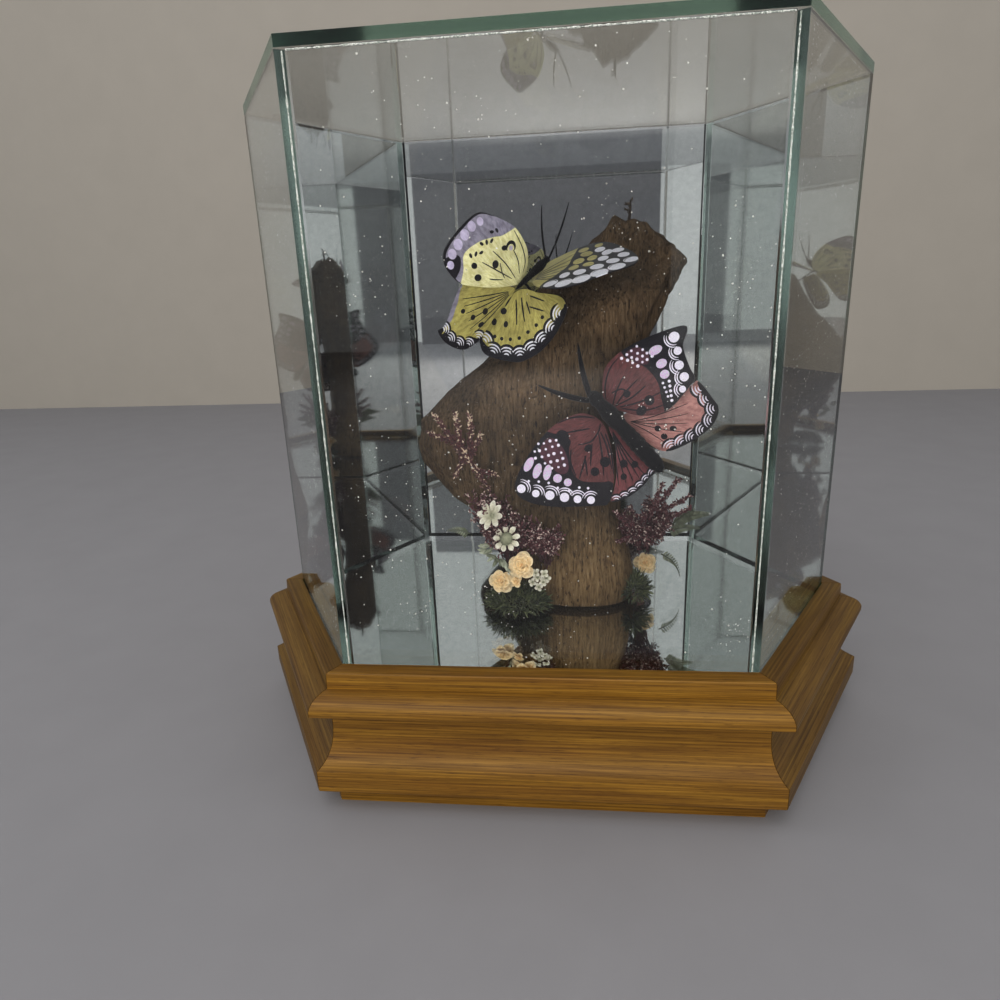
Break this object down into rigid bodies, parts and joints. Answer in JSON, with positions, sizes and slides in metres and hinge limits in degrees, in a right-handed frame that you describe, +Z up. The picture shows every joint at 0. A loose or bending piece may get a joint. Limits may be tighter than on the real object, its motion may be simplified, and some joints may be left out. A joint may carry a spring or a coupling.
{
  "type": "butterfly display case",
  "caption": "Six-sided glass case with mirrored back and floor on a moulded wooden base, showing mounted butterflies and dried flowers on driftwood.",
  "frame": {"origin": "centre of the footprint, on the surface the base board stands on", "axes": "+Z up, the clear front panel faces -Y, +X to the right as seen from the front"},
  "size_m": [0.234, 0.1588, 0.2201],
  "materials": {
    "base_wood": "satin stained and lacquered",
    "clear_glass": "polished clear with green cut edges",
    "mirror_glass": "silvered, slightly dusty",
    "driftwood": "weathered grey-brown, unfinished",
    "yellow_wing": "printed, matt",
    "pink_wing": "printed with glitter, matt",
    "butterfly_body": "black, velvety",
    "cream_petals": "dried petals",
    "peach_petals": "dried petals",
    "dried_heather": "dried maroon",
    "dried_leaf": "dried grey-green",
    "moss": "dried dark green"
  },
  "bodies": {
    "root": {"base_board": "base_wood", "moulding_front": "base_wood", "moulding_front_right": "base_wood", "moulding_back_right": "base_wood", "moulding_back": "base_wood", "moulding_back_left": "base_wood", "moulding_front_left": "base_wood", "glass_front": "clear_glass", "glass_front_left": "clear_glass", "glass_front_right": "clear_glass", "glass_top": "clear_glass", "mirror_floor": "mirror_glass", "mirror_back": "mirror_glass", "mirror_back_left": "mirror_glass", "mirror_back_right": "mirror_glass", "driftwood": "driftwood", "sprig_on_top": "driftwood", "yellow_butterfly_left_forewing": "yellow_wing", "yellow_butterfly_left_hindwing": "yellow_wing", "yellow_butterfly_right_forewing": "yellow_wing", "yellow_butterfly_right_hindwing": "yellow_wing", "pink_butterfly_left_forewing": "pink_wing", "pink_butterfly_left_hindwing": "pink_wing", "pink_butterfly_right_forewing": "pink_wing", "pink_butterfly_right_hindwing": "pink_wing", "yellow_butterfly_body": "butterfly_body", "pink_butterfly_body": "butterfly_body", "daisy_upper": "cream_petals", "daisy_lower": "cream_petals", "white_florets": "cream_petals", "rose_large": "peach_petals", "rose_left": "peach_petals", "rose_bud": "peach_petals", "rose_right": "peach_petals", "spray_left": "dried_heather", "spray_centre": "dried_heather", "spray_right": "dried_heather", "sprig_on_wood": "dried_heather", "frond_left": "dried_leaf", "frond_right": "dried_leaf", "frond_low": "dried_leaf", "moss_left": "moss", "moss_right": "moss"}
  },
  "joints": []
}
